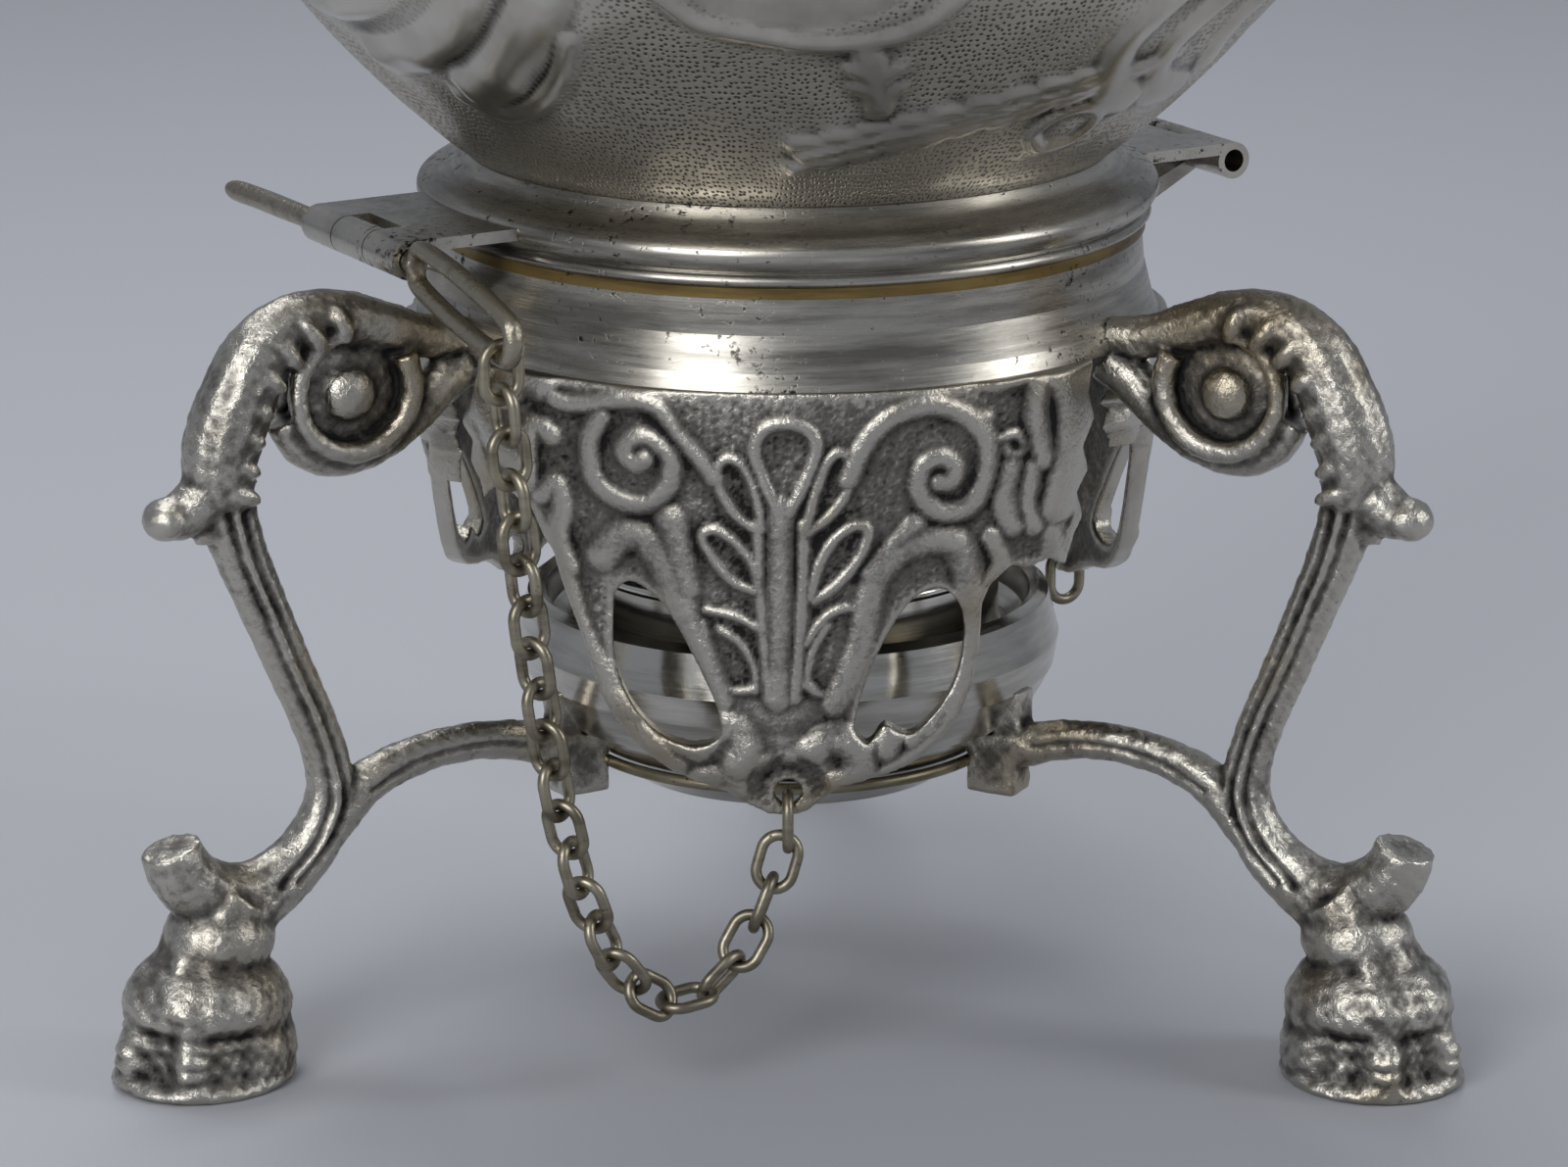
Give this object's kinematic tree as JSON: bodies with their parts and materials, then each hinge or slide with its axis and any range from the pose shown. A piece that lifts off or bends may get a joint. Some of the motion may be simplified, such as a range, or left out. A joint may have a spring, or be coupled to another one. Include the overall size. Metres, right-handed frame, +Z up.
{
  "type": "tilting spirit kettle on stand",
  "caption": "Silver-plated tilting kettle hinged on a cast stand with lion-paw legs, pierced aprons, a chained hinge pin and a spirit burner in a hoop.",
  "frame": {"origin": "on the floor under the middle of the whole part's box; the stand's own axis is 28.9 mm along +X from it", "axes": "+Z up along the stand's axis; the spout and the front hinge point along -X; both hinge pins lie along Y"},
  "size_m": [0.252, 0.235, 0.3865],
  "materials": {
    "polished_plate": "polished silver plate, worn and lightly tarnished",
    "cast_plate": "cast and silver plated, dark in the recesses",
    "brass": "worn brass",
    "ebonised_wood": "polished black-stained wood",
    "bone": "polished bone",
    "cotton": "woven cotton wick"
  },
  "bodies": {
    "stand": {"stand_ring": "polished_plate", "seat_ring": "brass", "burner_hoop": "polished_plate", "leg_front": "cast_plate", "leg_left": "cast_plate", "leg_right": "cast_plate", "apron_left": "cast_plate", "apron_right": "cast_plate", "apron_rear": "cast_plate", "front_strap": "polished_plate", "rear_strap": "polished_plate", "front_chain": "brass"},
    "kettle": {"kettle_body": "polished_plate", "kettle_flange": "polished_plate", "front_tab": "polished_plate", "rear_tab": "polished_plate", "spout": "polished_plate", "lid_bezel": "polished_plate", "lid_hinge_leaf": "polished_plate", "lid_hinge_pin": "brass", "handle_lug_front": "polished_plate", "handle_lug_rear": "polished_plate", "handle_pin_front": "brass", "handle_pin_rear": "brass"},
    "lid": {"lid": "polished_plate", "finial": "polished_plate", "finial_nut": "brass"},
    "handle": {"handle_arm_front": "polished_plate", "handle_arm_rear": "polished_plate", "insulator_front": "bone", "insulator_rear": "bone", "handle_grip": "ebonised_wood"},
    "front_pin": {"front_pin": "brass"},
    "rear_link": {"rear_link": "brass"},
    "burner": {"burner_reservoir": "polished_plate", "burner_collar": "polished_plate", "burner_cover": "polished_plate", "wick_tube": "brass", "wick": "cotton"},
    "snuffer": {"snuffer_cap": "polished_plate"}
  },
  "joints": [
    {"name": "kettle_tilt", "type": "hinge", "parent": "stand", "child": "kettle", "pos_m": [-0.05106, 0, 0.139], "axis": [0, -1, 0], "range_deg": [0, 50]},
    {"name": "lid_hinge", "type": "hinge", "parent": "kettle", "child": "lid", "pos_m": [0.02894, 0.0506, 0.2598], "axis": [-1, 0, 0], "range_deg": [0, 100]},
    {"name": "handle_swing", "type": "hinge", "parent": "kettle", "child": "handle", "pos_m": [0.02894, 0, 0.252], "axis": [1, 0, 0], "range_deg": [0, 75]},
    {"name": "front_pin_slide", "type": "slide", "parent": "stand", "child": "front_pin", "axis": [0, -1, 0], "range_m": [0, 0.075], "deforming": ["front_chain"]},
    {"name": "burner_lift", "type": "slide", "parent": "stand", "child": "burner", "axis": [0, 0, 1], "range_m": [0, 0.013]},
    {"name": "snuffer_lift", "type": "slide", "parent": "burner", "child": "snuffer", "axis": [0, 0, 1], "range_m": [0, 0.017]},
    {"name": "rear_link_swing", "type": "hinge", "parent": "stand", "child": "rear_link", "pos_m": [0.08604, 0, 0.06757], "axis": [0, 1, 0], "range_deg": [-6, 12]}
  ]
}
